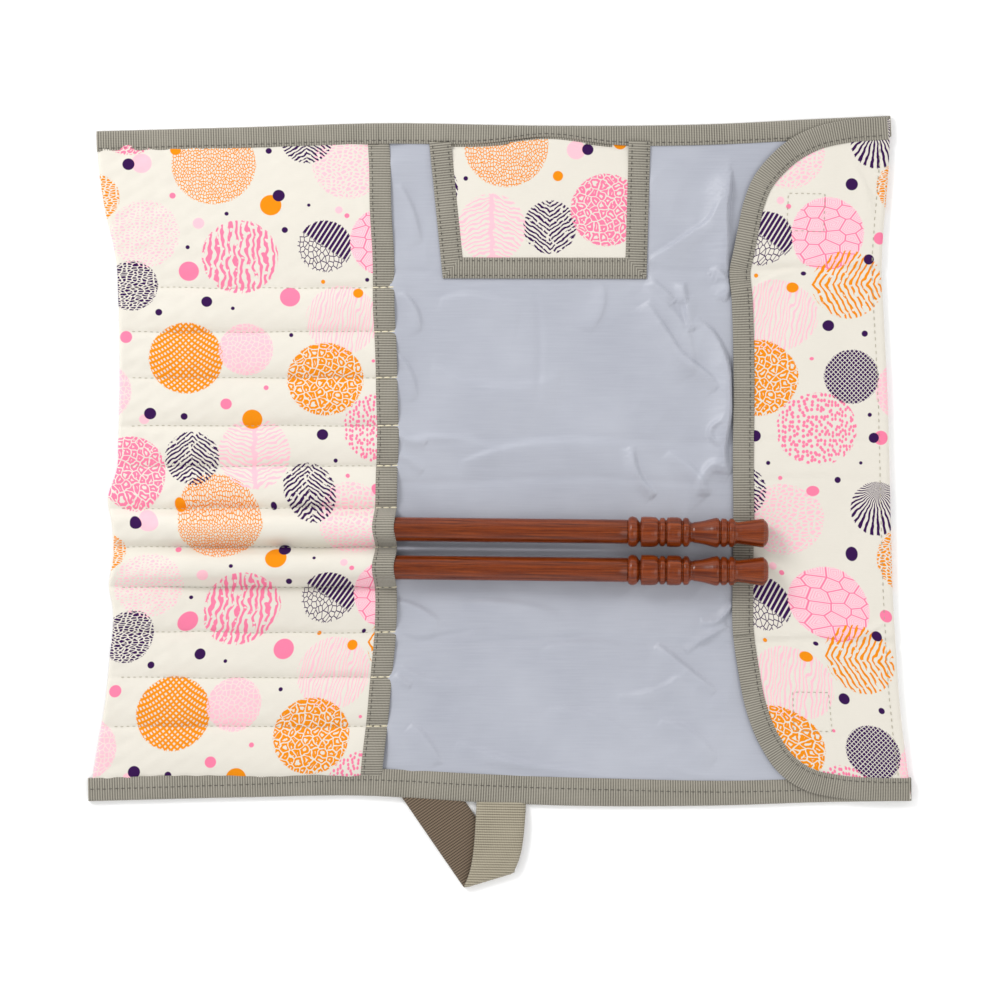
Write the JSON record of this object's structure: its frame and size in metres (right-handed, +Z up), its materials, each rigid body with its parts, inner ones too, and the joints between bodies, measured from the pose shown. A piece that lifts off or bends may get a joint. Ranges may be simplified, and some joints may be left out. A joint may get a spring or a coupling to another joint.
{
  "type": "knitting needle case",
  "caption": "Open fabric knitting needle case with stitched needle channels, a folded-over flap, a small accessory pocket, a webbing loop and turned wooden needles in two channels",
  "frame": {"origin": "centre of the open case and its strap seen from above, on the table that it lies on", "axes": "+X along the needles towards their handles, +Y away from the strap, +Z up from the table"},
  "size_m": [0.4077, 0.3829, 0.0192],
  "materials": {
    "printed_cotton": "woven cotton with a printed pattern of round motifs",
    "satin_lining": "smooth grey-blue satin",
    "binding_tape": "ribbed grosgrain tape",
    "hook_and_loop": "hook and loop pile",
    "needle_wood": "polished reddish brown hardwood",
    "handle_wood": "turned and polished hardwood",
    "webbing": "ribbed flat webbing"
  },
  "bodies": {
    "middle": {"middle_shell": "printed_cotton", "middle_lining": "satin_lining", "upper_pocket_panel": "printed_cotton", "needle_pocket_panel": "printed_cotton", "middle_mouth_binding": "binding_tape"},
    "top": {"top_shell": "printed_cotton", "top_lining": "satin_lining", "top_pocket_panel": "printed_cotton", "top_mouth_binding": "binding_tape", "top_edge_binding": "binding_tape", "accessory_pocket": "printed_cotton", "accessory_pocket_binding": "binding_tape", "top_loop_patch": "hook_and_loop"},
    "bottom": {"bottom_shell": "printed_cotton", "bottom_lining": "satin_lining", "bottom_pocket_panel": "printed_cotton", "bottom_mouth_binding": "binding_tape", "bottom_edge_binding": "binding_tape", "bottom_loop_patch": "hook_and_loop"},
    "flap_middle": {"middle_flap_panel": "printed_cotton", "middle_flap_binding": "binding_tape"},
    "flap_top": {"top_flap_panel": "printed_cotton", "top_flap_binding": "binding_tape", "top_hook_patch": "hook_and_loop"},
    "flap_bottom": {"bottom_flap_panel": "printed_cotton", "bottom_flap_binding": "binding_tape", "bottom_hook_patch": "hook_and_loop"},
    "upper_needle": {"upper_needle_shaft": "needle_wood", "upper_needle_handle": "handle_wood"},
    "lower_needle": {"lower_needle_shaft": "needle_wood", "lower_needle_handle": "handle_wood"},
    "strap": {"strap": "webbing"}
  },
  "joints": [
    {"name": "fold_top", "type": "hinge", "parent": "middle", "child": "top", "pos_m": [0, 0.108, 0.0049], "axis": [1, 0, 0], "range_deg": [0, 160]},
    {"name": "fold_bottom", "type": "hinge", "parent": "middle", "child": "bottom", "pos_m": [0, -0.068, 0.0049], "axis": [-1, 0, 0], "range_deg": [0, 140]},
    {"name": "flap_open", "type": "hinge", "parent": "middle", "child": "flap_middle", "pos_m": [0.1975, 0.02, 0.0024], "axis": [-0.0353, 0.9994, 0], "range_deg": [0, 178], "deforming": ["middle_flap_panel", "middle_flap_binding"]},
    {"name": "flap_open_top", "type": "hinge", "parent": "top", "child": "flap_top", "pos_m": [0.19326, 0.14, 0.0024], "axis": [-0.0353, 0.9994, 0], "range_deg": [0, 178]},
    {"name": "flap_open_bottom", "type": "hinge", "parent": "bottom", "child": "flap_bottom", "pos_m": [0.20208, -0.11, 0.0024], "axis": [-0.0353, 0.9994, 0], "range_deg": [0, 178]},
    {"name": "upper_needle_slide", "type": "slide", "parent": "middle", "child": "upper_needle", "axis": [0.9999, -0.0107, 0.0135], "range_m": [0, 0.13]},
    {"name": "lower_needle_slide", "type": "slide", "parent": "middle", "child": "lower_needle", "axis": [0.9999, -0.0107, 0.0135], "range_m": [0, 0.13]},
    {"name": "strap_lift", "type": "hinge", "parent": "bottom", "child": "strap", "pos_m": [-0.018, -0.1535, 0.0014], "axis": [1, 0, 0], "range_deg": [-90, 0]}
  ],
  "couplings": [
    {"joint": "flap_open_top", "follows": "flap_open", "ratio": 1},
    {"joint": "flap_open_bottom", "follows": "flap_open", "ratio": 1}
  ]
}
